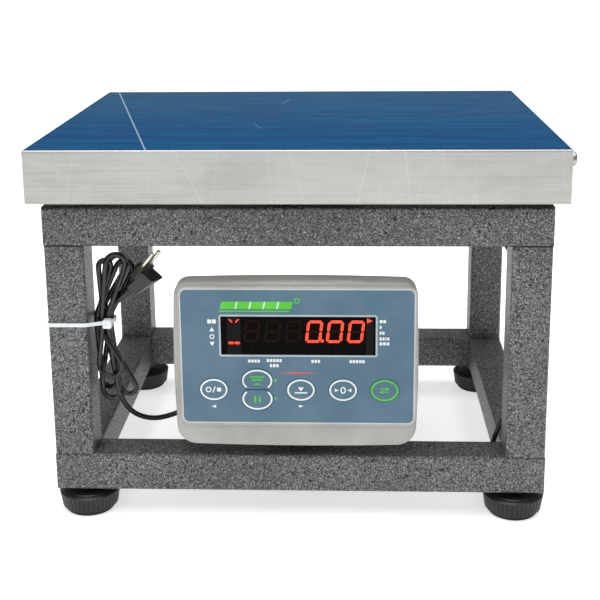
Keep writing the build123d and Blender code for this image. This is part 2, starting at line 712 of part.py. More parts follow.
def key(name):
    """Key cap with a flange behind the front wall that keeps it in."""
    cap = prism_y(key_shape(name), KEY_FRONT, KEY_FLANGE_FRONT + 0.2)
    cap = fillet(cap.faces().sort_by(Axis.Y)[0].edges(), 0.25)
    flange = prism_y(key_shape(name, KEY_FLANGE), KEY_FLANGE_FRONT, KEY_FLANGE_FRONT + KEY_FLANGE_T)
    return cap + flange


def switch_block(half_w, half_h, y_front, y_back):
    """Block centred on the switch."""
    z0, z1 = SWITCH_Z - half_h, SWITCH_Z + half_h
    return block(SWITCH_X - half_w, SWITCH_X + half_w, y_front, y_back, z0, z1)


def rocker_pin(radius, half_length):
    start = (SWITCH_X - half_length, ROCKER_PIVOT_Y, SWITCH_Z)
    return rod(start, (SWITCH_X + half_length, ROCKER_PIVOT_Y, SWITCH_Z), radius)


def power_switch():
    """Snap-in switch body with a frame round its rocker and bores for the rocker's cross pin."""
    body = switch_block(SWITCH_HALF_W, SWITCH_HALF_H, HOUSING_REAR - 13, HOUSING_REAR)
    body += switch_block(SWITCH_HALF_W + 2, SWITCH_HALF_H + 2, HOUSING_REAR, HOUSING_REAR + 1.6)
    body -= switch_block(SWITCH_HALF_W - 1.3, SWITCH_HALF_H - 0.6, HOUSING_REAR - 9, HOUSING_REAR + 3)
    return body - rocker_pin(ROCKER_PIN_R + 0.15, SWITCH_HALF_W - 0.4)


def power_rocker():
    """Rocker with a shallow V face and a cross pin, resting pressed at its lower end."""
    y = ROCKER_PIVOT_Y
    outline = [(y + 5.6, -7.6), (y + 4.6, 0), (y + 5.6, 7.6), (y, 7.6), (y - 3, 3), (y - 3, -3), (y, -7.6)]
    profile = make_face(Polyline(*outline, close=True))
    half_w = SWITCH_HALF_W - 1.6
    face = Plane(origin=(SWITCH_X - half_w, 0, SWITCH_Z), x_dir=(0, 1, 0), z_dir=(1, 0, 0))
    rocker = extrude(face * profile, 2 * half_w)
    axis = Axis((SWITCH_X, y, SWITCH_Z), (1, 0, 0))
    return rocker.rotate(axis, -ROCKER_ANGLE) + rocker_pin(ROCKER_PIN_R, SWITCH_HALF_W - 0.6)


def tapered_relief(start, direction, flange_r, neck_r, tip_r, length, bore_r):
    """Gland with a flange on the outside, a neck through the wall and a tapered sleeve round the cord."""
    along = Plane(origin=start, z_dir=direction)
    gland = extrude(along * Circle(flange_r), 3)
    gland += extrude(along.offset(-4) * Circle(neck_r), 5)
    sleeve = loft([along.offset(2.5) * Circle(neck_r), along.offset(length) * Circle(tip_r)])
    gland += sleeve
    for place in range(3):
        groove = along.offset(6 + place * (length - 9) / 3)
        gland -= extrude(groove * (Circle(neck_r + 1) - Circle(tip_r - 0.3)), 1.2)
    return gland - extrude(along.offset(-5) * Circle(bore_r), length + 6)


def cable_glands():
    mains_start = (-HUMP_X, GLAND_Y, MAINS_GLAND_Z)
    mains = tapered_relief(mains_start, (-1, 0, 0), 8, MAINS_NECK_R, 4.1, 22, LEAD_D / 2 + GLAND_CLEARANCE)
    cell_start = (CELL_GLAND_X, GLAND_Y, HUMP_Z0)
    cell_bore = CELL_CABLE_D / 2 + GLAND_CLEARANCE
    cell = tapered_relief(cell_start, (0, 0, -1), 6.5, CELL_NECK_R, 3.4, 15, cell_bore)
    return [mains, cell]


# ---------- cords ----------
def lead_hank():
    """Outer shape of the folded lead, narrow at the tie and fanned out at both ends."""
    sections = []
    for x, y, z, half_w, half_d in HANK_SECTIONS:
        sections.append(Pos(x, y, z) * Ellipse(half_w, half_d))
    return loft(sections, ruled=True)


def plug_plane():
    return Plane(origin=PLUG_FACE, x_dir=PLUG_WIDTH_DIR, z_dir=PLUG_AXIS)


def mains_plug():
    """Moulded two-pin plug: flat nose, thick grip beside it and a tapered sleeve round the lead."""
    plane = plug_plane()
    nose = extrude(plane * RectangleRounded(NOSE_W, NOSE_T, 3), -NOSE_L)
    front = Pos(0, -GRIP_OFFSET) * RectangleRounded(NOSE_W + 1, GRIP_T, 4)
    rear = Pos(0, -GRIP_OFFSET * 0.5) * RectangleRounded(NOSE_W * 0.65, GRIP_T * 0.85, 4)
    grip = loft([plane.offset(-GRIP_FRONT) * front, plane.offset(-GRIP_REAR) * rear])
    root = Pos(0, -GRIP_OFFSET * 0.35) * Circle(5)
    sleeve = loft([plane.offset(0.5 - GRIP_REAR) * root, plane.offset(-SLEEVE_END) * Circle(SLEEVE_TIP_R)])
    return nose + grip + sleeve


def plug_pins():
    plane = plug_plane()
    pins = []
    for side in (-1, 1):
        pin = extrude(plane * (Pos(side * PIN_SPACING / 2, 0) * Circle(PIN_R)), PIN_L)
        pins.append(fillet(pin.faces().sort_by(Axis(PLUG_FACE, PLUG_AXIS))[-1].edges(), 1))
    return pins


def cable_tie():
    """Band drawn round the left front post and the hank's waist, with its square head in front."""
    x, y, radius = TIE_WAIST
    post = Pos(-POST_X, -POST_Y) * RectangleRounded(TUBE, TUBE, TUBE_R)
    waist = Pos(x, y) * Circle(radius)
    loop = make_hull(post.edges() + waist.edges())
    band = offset(loop, RUN_GAP + TIE_T) - offset(loop, RUN_GAP)
    tie = extrude(Plane(origin=(0, 0, TIE_Z - TIE_BAND / 2)) * band, TIE_BAND)
    head_x, head_y, head_z = TIE_HEAD
    head = Pos(head_x, head_y, head_z) * Box(8.4, 6.4, 8.4)
    return tie + fillet(head.edges().filter_by(Axis.Y), 1.6)


def cable_clips():
    """Small saddles that hold the load cell's cable against the stand."""
    clips = []
    for x, y, z, way in CLIP_SPOTS:
        back = -POST_INNER_Y
        saddle = block(x - 5, x + 5, back, y + 4.2, z - 5, z + 5)
        along = (1, 0, 0) if way == "x" else (0, 0, 1)
        bore = Plane(origin=(x, y, z), z_dir=along)
        saddle -= extrude(bore * Circle(CELL_CABLE_D / 2 + CLIP_CLEARANCE), 20, both=True)
        clips.append(saddle)
    return clips


# ---------- levelling feet ----------
def foot_pad():
    """Rubber disc with a boss on which the knob turns."""
    disc = chamfer(extrude(Circle(PAD_DISC_R), KNOB_Z - RUN_GAP).edges(), 0.8)
    return disc + extrude(Circle(PAD_BOSS_R), KNOB_Z + 3)


def foot_knob():
    """Ribbed knob with a rim ring, a dished top and a collar round the stud."""
    profile = [
        (0, KNOB_Z + 3 + RUN_GAP),
        (PAD_BOSS_R + RUN_GAP, KNOB_Z + 3 + RUN_GAP),
        (PAD_BOSS_R + RUN_GAP, KNOB_Z),
        (KNOB_BASE_R, KNOB_Z),
        (KNOB_R, KNOB_BAND_TOP),
        (KNOB_R - 1.6, KNOB_BAND_TOP + 1.6),
        (KNOB_R - 4, KNOB_BAND_TOP + 1.8),
        (KNOB_R - 5, KNOB_BAND_TOP + 0.6),
        (KNOB_R - 6.5, KNOB_BAND_TOP + 2.2),
        (KNOB_R - 9, KNOB_BAND_TOP + 2.4),
        (12, KNOB_BAND_TOP + 3.2),
        (11, KNOB_TOP),
        (STUD_R, KNOB_TOP),
        (STUD_R, KNOB_Z + STUD_SEAT),
        (0, KNOB_Z + STUD_SEAT),
    ]
    knob = revolve(make_face(Plane.XZ * Polyline(*profile, close=True)), Axis.Z)
    slope = (KNOB_R - KNOB_BASE_R) / (KNOB_BAND_TOP - KNOB_Z)
    grooves = []
    for index in range(KNOB_RIBS):
        angle = 2 * pi * index / KNOB_RIBS
        low_r = KNOB_BASE_R - 2 * slope + 0.2
        high_r = KNOB_R - slope + 0.2
        start = (low_r * cos(angle), low_r * sin(angle), KNOB_Z - 2)
        end = (high_r * cos(angle), high_r * sin(angle), KNOB_BAND_TOP - 1)
        grooves.append(rod(start, end, RIB_GROOVE_R))
    return knob - grooves


def foot_stud():
    """M10 stud moulded into the knob; its thread is drawn as a plain cylinder."""
    base = KNOB_Z + STUD_SEAT
    return extrude(Plane(origin=(0, 0, base)) * Circle(STUD_R), FOOT_H - base)


def write(name, shapes):
    solids = shapes if isinstance(shapes, list) else [shapes]
    children = [solid for shape in solids for solid in shape.solids()]
    shape = children[0] if len(children) == 1 else Compound(children)
    export_step(shape, f"parts/{name}.step")


def write_feet():
    pad, knob, stud = foot_pad(), foot_knob(), foot_stud()
    for depth, y in (("front", -FOOT_Y), ("rear", FOOT_Y)):
        for side, x in (("left", -FOOT_X), ("right", FOOT_X)):
            name = f"{depth}_{side}_foot"
            write(f"{name}_pad", Pos(x, y, 0) * pad)
            write(f"{name}_knob", Pos(x, y, 0) * knob)
            write(f"{name}_stud", Pos(x, y, 0) * stud)


def main():
    os.makedirs("parts", exist_ok=True)
    write("top_cross_rails", [cross_rail(y, TOP_RAIL_Z) for y in (-POST_Y, POST_Y)])
    write("front_bottom_rail", front_bottom_rail())
    write("rear_bottom_rail", rear_bottom_rail())
    write("corner_posts", corner_posts())
    write("top_side_rails", side_rails(TOP_RAIL_Z, True))
    write("bottom_side_rails", side_rails(BOTTOM_RAIL_Z, False))
    write("load_cell_beam", load_cell_beam())
    write("rail_end_plates", rail_end_plates())
    write("foot_weld_nuts", foot_weld_nuts())
    write("load_cell", drilled_cell())
    write("load_cell_spacers", load_cell_spacers())
    write("load_cell_bolts", load_cell_bolts())
    write("platform_spider", platform_spider())
    write("pan_support_pads", pan_support_pads())
    write("overload_stop_bolts", overload_stop_bolts())
    write("spirit_level", spirit_level())
    write("weighing_pan", weighing_pan())
    write("protective_film", protective_film())
    write("pan_side_screw", pan_side_screw())
    write("indicator_bracket", indicator_bracket())
    write("bracket_bolts", bracket_bolts())
    write("tilt_knobs", tilt_knobs())
    write("indicator_front_shell", indicator_front_shell())
    write("indicator_rear_shell", indicator_rear_shell())
    write("front_overlay", front_overlay())
    write("display_window", display_window())
    write("led_display_module", led_display_module())
    write("main_circuit_board", main_circuit_board())
    write("power_transformer", power_transformer())
    write("battery", battery())
    write("battery_cover", battery_door())
    write("shell_screws", shell_screws())
    for name in KEYS:
        write(name, key(name))
    write("power_switch", power_switch())
    write("power_rocker", power_rocker())
    write("cable_glands", cable_glands())
    write("mains_lead", round_cord("mains_lead", LEAD_ROUTE, LEAD_D))
    write("lead_hank", lead_hank())
    write("mains_plug", mains_plug())
    write("plug_pins", plug_pins())
    write("cable_tie", cable_tie())
    write("load_cell_cable", round_cord("load_cell_cable", CELL_CABLE_ROUTE, CELL_CABLE_D))
    write("cable_clips", cable_clips())
    write_feet()


main()
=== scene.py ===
import json
import math

import bmesh
import bpy
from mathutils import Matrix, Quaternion, Vector


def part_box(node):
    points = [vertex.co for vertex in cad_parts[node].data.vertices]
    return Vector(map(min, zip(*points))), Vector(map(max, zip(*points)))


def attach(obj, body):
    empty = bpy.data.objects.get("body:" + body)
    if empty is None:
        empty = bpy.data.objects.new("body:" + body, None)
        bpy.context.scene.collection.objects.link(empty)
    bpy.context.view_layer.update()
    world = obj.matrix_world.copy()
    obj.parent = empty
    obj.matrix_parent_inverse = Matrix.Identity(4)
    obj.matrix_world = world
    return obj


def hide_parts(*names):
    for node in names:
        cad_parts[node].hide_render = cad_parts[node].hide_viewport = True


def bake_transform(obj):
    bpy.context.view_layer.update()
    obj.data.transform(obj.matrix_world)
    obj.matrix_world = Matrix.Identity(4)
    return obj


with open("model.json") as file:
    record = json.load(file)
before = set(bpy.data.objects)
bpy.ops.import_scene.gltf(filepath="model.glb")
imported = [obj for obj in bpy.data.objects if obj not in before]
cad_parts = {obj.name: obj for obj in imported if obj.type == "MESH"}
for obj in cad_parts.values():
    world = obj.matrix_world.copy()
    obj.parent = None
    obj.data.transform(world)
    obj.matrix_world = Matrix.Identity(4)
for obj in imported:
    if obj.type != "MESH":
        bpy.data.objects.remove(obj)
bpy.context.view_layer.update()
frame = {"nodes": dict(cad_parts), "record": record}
NODES = frame["nodes"]
RECORD = frame["record"]
MM = 0.001


def mm(*values):
    """A point given in millimetres."""
    return Vector([value * MM for value in values])


# ---------- camera, floor and lights ----------
CAMERA_AT = (0.04732, -1.22094, 0.56121)
CAMERA_YAW = math.radians(-2.406)
CAMERA_PITCH = math.radians(12.973)
CAMERA_ROLL = math.radians(-0.542)
CAMERA_LENS = 69.06
CAMERA_SHIFT_Y = -0.1667


def make_camera():
    data = bpy.data.cameras.new("camera")
    data.lens = CAMERA_LENS
    data.sensor_width = 36
    data.shift_y = CAMERA_SHIFT_Y
    camera = bpy.data.objects.new("camera", data)
    ahead = Vector((
        math.sin(CAMERA_YAW) * math.cos(CAMERA_PITCH),
        math.cos(CAMERA_YAW) * math.cos(CAMERA_PITCH),
        -math.sin(CAMERA_PITCH),
    ))
    camera.location = CAMERA_AT
    camera.rotation_mode = "QUATERNION"
    turn = ahead.to_track_quat("-Z", "Y")
    roll = Vector((0, 0, -1)).to_track_quat("-Z", "Y")
    roll.rotate(Quaternion((0, 0, 1), CAMERA_ROLL))
    camera.rotation_quaternion = turn @ roll
    bpy.context.scene.collection.objects.link(camera)
    bpy.context.scene.camera = camera


def area_light(name, at, aim, size, power):
    data = bpy.data.lights.new(name, "AREA")
    data.shape = "RECTANGLE"
    data.size, data.size_y = size
    data.energy = power
    light = bpy.data.objects.new(name, data)
    light.location = at
    light.rotation_mode = "QUATERNION"
    light.rotation_quaternion = (Vector(aim) - Vector(at)).to_track_quat("-Z", "Y")
    bpy.context.scene.collection.objects.link(light)


def make_world():
    world = bpy.data.worlds.new("studio")
    world.use_nodes = True
    tree = world.node_tree
    sky = tree.nodes["Background"]
    coords = tree.nodes.new("ShaderNodeTexCoord")
    split = tree.nodes.new("ShaderNodeSeparateXYZ")
    ramp = tree.nodes.new("ShaderNodeValToRGB")
    ramp.color_ramp.elements[0].position = 0.02
    ramp.color_ramp.elements[0].color = (0.13, 0.135, 0.14, 1)
    ramp.color_ramp.elements[1].position = 0.75
    ramp.color_ramp.elements[1].color = (1, 1, 1, 1)
    tree.links.new(coords.outputs["Generated"], split.inputs[0])
    tree.links.new(split.outputs["Z"], ramp.inputs[0])
    tree.links.new(ramp.outputs[0], sky.inputs["Color"])
    sky.inputs["Strength"].default_value = 0.6
    bpy.context.scene.world = world
    bpy.context.scene.view_settings.view_transform = "Standard"


# ---------- materials ----------
SILVER_DARK = (0.27, 0.265, 0.27)
SILVER_LIGHT = (0.345, 0.34, 0.346)


class Paint:
    """One procedural material: its shader, and short calls that add nodes to it."""

    def __init__(self, name, colour=(0.5, 0.5, 0.5), **values):
        self.material = bpy.data.materials.new(name)
        self.material.use_nodes = True
        self.tree = self.material.node_tree
        self.shader = self.tree.nodes["Principled BSDF"]
        self.set("Base Color", (*colour, 1))
        for key, value in values.items():
            self.set(key.replace("_", " "), value)
        self.place = self.node("ShaderNodeTexCoord", {}).outputs["Object"]

    def set(self, socket, value):
        self.feed(self.shader.inputs[socket], value)

    def feed(self, socket, value):
        if isinstance(value, bpy.types.NodeSocket):
            self.tree.links.new(value, socket)
        else:
            socket.default_value = value

    def node(self, kind, inputs, **settings):
        made = self.tree.nodes.new(kind)
        for key, value in settings.items():
            setattr(made, key, value)
        for key, value in inputs.items():
            self.feed(made.inputs[key], value)
        return made

    def stretched(self, stretch):
        return self.node("ShaderNodeMapping", {"Vector": self.place, "Scale": stretch}).outputs[0]

    def noise(self, scale, detail=2.0, rough=0.5, twist=0.0, stretch=(1, 1, 1)):
        inputs = {"Vector": self.stretched(stretch), "Scale": scale, "Detail": detail}
        inputs.update({"Roughness": rough, "Distortion": twist})
        return self.node("ShaderNodeTexNoise", inputs).outputs[0]

    def cells(self, scale, stretch=(1, 1, 1), feature="F1"):
        inputs = {"Vector": self.stretched(stretch), "Scale": scale}
        return self.node("ShaderNodeTexVoronoi", inputs, feature=feature).outputs["Distance"]

    def math(self, operation, a, b=0.0, c=0.0):
        return self.node("ShaderNodeMath", {0: a, 1: b, 2: c}, operation=operation).outputs[0]

    def span(self, value, low, high, out_low=0.0, out_high=1.0):
        """The value's share of the way from low to high, clamped."""
        inputs = {"Value": value, "From Min": low, "From Max": high, "To Min": out_low, "To Max": out_high}
        return self.node("ShaderNodeMapRange", inputs, interpolation_type="SMOOTHSTEP").outputs[0]

    def axis(self, name):
        return self.node("ShaderNodeSeparateXYZ", {0: self.place}).outputs[name]

    def mix(self, share, a, b, blend="MIX"):
        colours = [c if isinstance(c, bpy.types.NodeSocket) else (*c, 1) for c in (a, b)]
        inputs = {0: share, 6: colours[0], 7: colours[1]}
        return self.node("ShaderNodeMix", inputs, data_type="RGBA", blend_type=blend).outputs[2]

    def bump(self, height, distance, strength=1.0):
        inputs = {"Height": height, "Distance": distance, "Strength": strength}
        self.set("Normal", self.node("ShaderNodeBump", inputs).outputs[0])


def hammered_paint():
    """Silver and black vein paint: worm-like silver ridges over black, with a few pits and bright flecks."""
    paint = Paint("hammered_paint", Metallic=0.35, Specular_IOR_Level=0.6)
    field = paint.noise(330, 1.0, 0.5, 0.35)
    bands = paint.math("PINGPONG", paint.math("MULTIPLY", field, 8.0), 0.5)
    ridge = paint.span(bands, 0.10, 0.40)
    soft = paint.noise(520, 1.0)
    ridge = paint.math("MULTIPLY", ridge, paint.span(soft, 0.36, 0.58, 0.22, 1.0))
    pits = paint.span(paint.noise(300, 0.0), 0.18, 0.31)
    large = paint.span(paint.noise(9, 2.0), 0.35, 0.65, 0.0, 1.0)
    silver = paint.mix(large, SILVER_DARK, SILVER_LIGHT)
    colour = paint.mix(ridge, (0.022, 0.020, 0.024), silver)
    flecks = paint.span(paint.noise(610, 0.0), 0.66, 0.78, 0.0, 0.28)
    colour = paint.mix(flecks, colour, (0.80, 0.79, 0.79))
    colour = paint.mix(pits, (0.012, 0.012, 0.014), colour)
    paint.set("Base Color", colour)
    paint.set("Roughness", paint.span(ridge, 0, 1, 0.5, 0.32))
    paint.bump(ridge, 0.0003, 0.9)
    return paint.material


def powder_coat():
    paint = Paint("powder_coat", Specular_IOR_Level=0.4)
    grain = paint.noise(900, 2.0)
    paint.set("Base Color", paint.mix(grain, (0.018, 0.018, 0.02), (0.05, 0.05, 0.052)))
    paint.set("Roughness", paint.span(grain, 0.3, 0.7, 0.45, 0.6))
    paint.bump(grain, 0.00012, 0.6)
    return paint.material


def plain_metal(name, dark, light, rough, scale=60, stretch=(1, 1, 1)):
    """Plated or milled metal with soft stains and fine tool marks."""
    paint = Paint(name, Metallic=1.0)
    stain = paint.noise(scale, 4.0, 0.6)
    marks = paint.noise(scale * 12, 2.0, 0.5, 0, stretch)
    paint.set("Base Color", paint.mix(paint.span(stain, 0.3, 0.7), dark, light))
    paint.set("Roughness", paint.span(marks, 0.3, 0.7, rough * 0.8, rough * 1.25))
    paint.bump(marks, 0.00003, 0.5)
    return paint.material


def brushed_stainless():
    """Sheet with long horizontal brush lines, cloudy stains and a few faint rubbed scratches."""
    paint = Paint("brushed_stainless", Metallic=0.86)
    lines = paint.noise(1.0, 3.0, 0.6, 0, (7, 7, 1400))
    long_lines = paint.noise(1.0, 2.0, 0.5, 0, (3, 3, 420))
    cloud = paint.noise(9, 4.0, 0.62, 0.4, (1, 1, 2.2))
    base = paint.mix(paint.span(cloud, 0.32, 0.68), (0.38, 0.37, 0.345), (0.50, 0.49, 0.46))
    base = paint.mix(paint.span(lines, 0.3, 0.7, 0, 0.35), base, (0.66, 0.65, 0.62))
    scratches = paint.cells(1.0, (26, 26, 3.2), "DISTANCE_TO_EDGE")
    base = paint.mix(paint.span(scratches, 0.0, 0.010, 0.12, 0.0), base, (0.88, 0.87, 0.84))
    paint.set("Base Color", base)
    brushed = paint.span(lines, 0.25, 0.75, 0.30, 0.40)
    paint.set("Roughness", paint.math("ADD", brushed, paint.span(cloud, 0.3, 0.7, 0.0, 0.10)))
    paint.bump(paint.math("ADD", lines, long_lines), 0.00004, 0.45)
    return paint.material


CREASE_FRONT = mm(-136, -198.5, 372)
CREASE_REAR = mm(-237, 198.5, 372)


def blue_film():
    """Protective film: deep blue, with a painted reflection that pales it towards the rear, wavy streaks
    across it and one pale crease.
    """
    paint = Paint("blue_film", Specular_IOR_Level=0.02)
    low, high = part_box("protective_film")
    # painted reflection: the colour pales from the front edge to the rear edge, in place of the sheen the
    # film shows at a grazing angle
    depth = paint.span(paint.axis("Y"), low.y, high.y)
    front_colour, rear_painted_reflection = (0.0, 0.048, 0.145), (0.026, 0.076, 0.148)
    streaks = paint.noise(1.0, 3.0, 0.6, 0.6, (5, 95, 1))
    fine = paint.noise(1.0, 2.0, 0.6, 0, (18, 520, 1))
    colour = paint.mix(depth, front_colour, rear_painted_reflection)
    colour = paint.mix(paint.span(streaks, 0.42, 0.66, 0.0, 0.6), colour, (0.012, 0.10, 0.215))
    colour = paint.mix(paint.span(fine, 0.42, 0.66, 0.0, 0.5), colour, (0.002, 0.035, 0.105))
    along = CREASE_REAR - CREASE_FRONT
    across = Vector((along.y, -along.x, 0)).normalized()
    offset = paint.math("MULTIPLY_ADD", paint.axis("X"), across.x, -CREASE_FRONT.dot(across))
    offset = paint.math("ABSOLUTE", paint.math("MULTIPLY_ADD", paint.axis("Y"), across.y, offset))
    crease = paint.span(offset, 0.0003, 0.0011, 0.75, 0.0)
    colour = paint.mix(crease, colour, (0.33, 0.42, 0.56))
    scratch = paint.cells(1.0, (4.5, 11, 1), "DISTANCE_TO_EDGE")
    places = paint.span(paint.noise(14), 0.55, 0.7)
    worn = paint.math("MULTIPLY", paint.span(scratch, 0.0, 0.004, 0.5, 0.0), places)
    colour = paint.mix(worn, colour, (0.25, 0.36, 0.5))
    paint.set("Base Color", colour)
    paint.set("Roughness", paint.span(streaks, 0.3, 0.7, 0.30, 0.48))
    height = paint.math("ADD", streaks, paint.math("MULTIPLY", crease, 2.0))
    paint.bump(height, 0.0006, 0.35)
    return paint.material


def moulded(name, dark, light, rough, grain=1500, bump=0.00005, specular=0.4, **values):
    """Moulded plastic or rubber: cloudy tone, fine grain in its bump and an uneven sheen."""
    paint = Paint(name, Specular_IOR_Level=specular, **values)
    cloud = paint.noise(28, 3.0, 0.55)
    fine = paint.noise(grain, 2.0, 0.6)
    paint.set("Base Color", paint.mix(paint.span(cloud, 0.3, 0.7), dark, light))
    paint.set("Roughness", paint.span(fine, 0.3, 0.7, rough * 0.88, rough * 1.12))
    paint.bump(fine, bump, 0.5)
    return paint.material


def display_pane():
    """Black filter over the digits, with the paler strips of the side columns."""
    paint = Paint("display_pane", Specular_IOR_Level=0.03)
    low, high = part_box("display_window")
    x = paint.axis("X")
    strips = []
    for start, end in ((low.x + 0.0055, low.x + 0.0192), (high.x - 0.0092, high.x - 0.0016)):
        rise = paint.span(x, start, start + 0.0006)
        strips.append(paint.math("MULTIPLY", rise, paint.span(x, end, end - 0.0006)))
    dust = paint.noise(300, 3.0)
    strips = paint.math("MAXIMUM", *strips)
    strips = paint.math("MULTIPLY", strips, paint.span(dust, 0.3, 0.7, 0.7, 1.0))
    paint.set("Base Color", paint.mix(strips, (0.002, 0.0015, 0.0015), (0.012, 0.011, 0.011)))
    paint.set("Roughness", paint.span(dust, 0.3, 0.7, 0.10, 0.18))
    return paint.material


def glowing(name, core, edge, strength):
    """Lit display segment, its glow varied by fine noise between the edge and core colours."""
    paint = Paint(name, edge, Roughness=0.5)
    paint.set("Emission Color", paint.mix(paint.span(paint.noise(700, 1.0), 0.4, 0.65), edge, core))
    paint.set("Emission Strength", strength)
    return paint.material


def sheath(name, dark, light, rough):
    """Vinyl sheath or moulding, with dust and faint flow lines."""
    paint = Paint(name, Specular_IOR_Level=0.55)
    dust = paint.noise(260, 4.0, 0.7)
    flow = paint.noise(90, 2.0)
    paint.set("Base Color", paint.mix(paint.span(dust, 0.45, 0.8), dark, light))
    paint.set("Roughness", paint.span(flow, 0.3, 0.7, rough * 0.85, rough * 1.2))
    paint.bump(flow, 0.00008, 0.4)
    return paint.material


def circuit_green():
    paint = Paint("circuit_green", Specular_IOR_Level=0.5)
    tracks = paint.cells(160, (1, 1, 1), "DISTANCE_TO_EDGE")
    board = paint.span(tracks, 0.02, 0.06)
    paint.set("Base Color", paint.mix(board, (0.05, 0.22, 0.09), (0.012, 0.10, 0.04)))
    paint.set("Roughness", paint.span(paint.noise(400), 0.3, 0.7, 0.3, 0.45))
    return paint.material


def make_materials():
    """The finish of each material slot in the record."""
    white_print = moulded("white_print", (0.72, 0.74, 0.74), (0.84, 0.86, 0.86), 0.5)
    return {
        "stand_paint": hammered_paint(),
        "black_paint": powder_coat(),
        "zinc_steel": plain_metal("zinc_steel", (0.50, 0.50, 0.48), (0.68, 0.67, 0.64), 0.32),
        "cell_alloy": plain_metal("cell_alloy", (0.66, 0.66, 0.65), (0.80, 0.80, 0.78), 0.36, 50, (1, 9, 1)),
        "level_plastic": moulded("level_plastic", (0.55, 0.70, 0.12), (0.66, 0.80, 0.2), 0.15, 200),
        "soft_rubber": moulded("soft_rubber", (0.012, 0.012, 0.012), (0.03, 0.03, 0.03), 0.75, 900, 0.0001),
        "stainless": brushed_stainless(),
        "blue_film": blue_film(),
        "bright_screw": plain_metal("bright_screw", (0.28, 0.27, 0.26), (0.45, 0.44, 0.42), 0.28, 120),
        "knob_plastic": moulded(
            "knob_plastic", (0.008, 0.008, 0.009), (0.022, 0.022, 0.023),
            0.42, 1100, 0.00006,
        ),
        "housing_plastic": moulded(
            "housing_plastic", (0.37, 0.356, 0.338), (0.43, 0.418, 0.398),
            0.52, 1800, 0.00005,
        ),
        "panel_print": moulded(
            "panel_print", (0.068, 0.142, 0.205), (0.090, 0.170, 0.236),
            0.5, 1300, 0.00003,
        ),
        "dark_pane": display_pane(),
        "led_module": moulded("led_module", (0.012, 0.009, 0.009), (0.03, 0.02, 0.02), 0.4),
        "board_green": circuit_green(),
        "transformer_iron": plain_metal(
            "transformer_iron", (0.10, 0.095, 0.09), (0.2, 0.19, 0.18),
            0.5, 90, (1, 1, 30),
        ),
        "battery_case": moulded("battery_case", (0.03, 0.03, 0.034), (0.06, 0.06, 0.066), 0.5),
        "switch_plastic": moulded("switch_plastic", (0.008, 0.008, 0.008), (0.02, 0.02, 0.02), 0.3),
        "gland_rubber": moulded("gland_rubber", (0.01, 0.01, 0.01), (0.026, 0.026, 0.026), 0.6, 800, 0.0001),
        "lead_sheath": sheath("lead_sheath", (0.003, 0.003, 0.0035), (0.011, 0.011, 0.012), 0.30),
        "plug_body": sheath("plug_body", (0.004, 0.004, 0.0045), (0.016, 0.016, 0.018), 0.34),
        "pin_metal": plain_metal("pin_metal", (0.66, 0.62, 0.52), (0.84, 0.80, 0.70), 0.22, 140),
        "tie_nylon": moulded("tie_nylon", (0.66, 0.68, 0.70), (0.80, 0.82, 0.84), 0.4, 500, 0.00006),
        "white_print": white_print,
        "pale_print": moulded("pale_print", (0.50, 0.51, 0.51), (0.58, 0.59, 0.59), 0.5),
        "grey_print": moulded("grey_print", (0.36, 0.42, 0.45), (0.44, 0.50, 0.53), 0.5),
        "green_print": moulded("green_print", (0.07, 0.50, 0.02), (0.12, 0.62, 0.04), 0.5),
        "red_print": moulded("red_print", (0.62, 0.05, 0.05), (0.78, 0.09, 0.09), 0.5),
        "lit_segment": glowing("lit_segment", (1.0, 0.10, 0.008), (1.0, 0.012, 0.004), 1.5),
        "unlit_segment": moulded(
            "unlit_segment", (0.010, 0.005, 0.004), (0.016, 0.007, 0.005),
            0.9, specular=0.05,
        ),
    }


FINISHES = make_materials()


def dress_cad_nodes():
    """Give each CAD node the finish of its material slot."""
    for part in RECORD["subparts"]:
        piece = NODES[part["node"]]
        piece.data.materials.clear()
        piece.data.materials.append(FINISHES[part["material_slot"]])


# ---------- small mesh tools ----------
def new_piece(name, mesh, finish, body):
    piece = bpy.data.objects.new(name, mesh)
    piece.data.materials.append(FINISHES[finish])
    bpy.context.scene.collection.objects.link(piece)
    if body:
        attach(piece, body)
    return piece


def oriented(mesh_data):
    """Close a bmesh into a mesh with its faces turned outwards."""
    bmesh.ops.recalc_face_normals(mesh_data, faces=mesh_data.faces)
    mesh = bpy.data.meshes.new("piece")
    mesh_data.to_mesh(mesh)
    mesh_data.free()
    return mesh


def smooth(piece, angle=35):
    for face in piece.data.polygons:
        face.use_smooth = True
    piece.data.set_sharp_from_angle(angle=math.radians(angle))


def add_slab(mesh_data, outline, y_front, y_back):
    """Flat plate with the given outline in X and Z."""
    front = [mesh_data.verts.new((x, y_front, z)) for x, z in outline]
    back = [mesh_data.verts.new((x, y_back, z)) for x, z in outline]
    mesh_data.faces.new(front)
    mesh_data.faces.new(back[::-1])
    count = len(outline)
    for i in range(count):
        j = (i + 1) % count
        mesh_data.faces.new((front[i], back[i], back[j], front[j]))


def add_stroke(mesh_data, points, width, y_front, y_back, closed=False):
    """Printed line of even width along points in X and Z."""
    count = len(points)
    rows = []
    for i, (x, z) in enumerate(points):
        if closed:
            before, after = points[i - 1], points[(i + 1) % count]
        else:
            before, after = points[max(i - 1, 0)], points[min(i + 1, count - 1)]
        along = Vector((after[0] - before[0], after[1] - before[1])).normalized()
        side = Vector((-along.y, along.x)) * width / 2
        corners = [(x + side.x, z + side.y), (x - side.x, z - side.y)]
        rows.append([mesh_data.verts.new((a, y, b)) for y in (y_front, y_back) for a, b in corners])
    for i in range(count if closed else count - 1):
        now, then = rows[i], rows[(i + 1) % count]
        for a, b in ((0, 1), (1, 3), (3, 2), (2, 0)):
            mesh_data.faces.new((now[a], then[a], then[b], now[b]))
    if not closed:
        for row in (rows[0], rows[-1]):
            mesh_data.faces.new((row[0], row[1], row[3], row[2]))


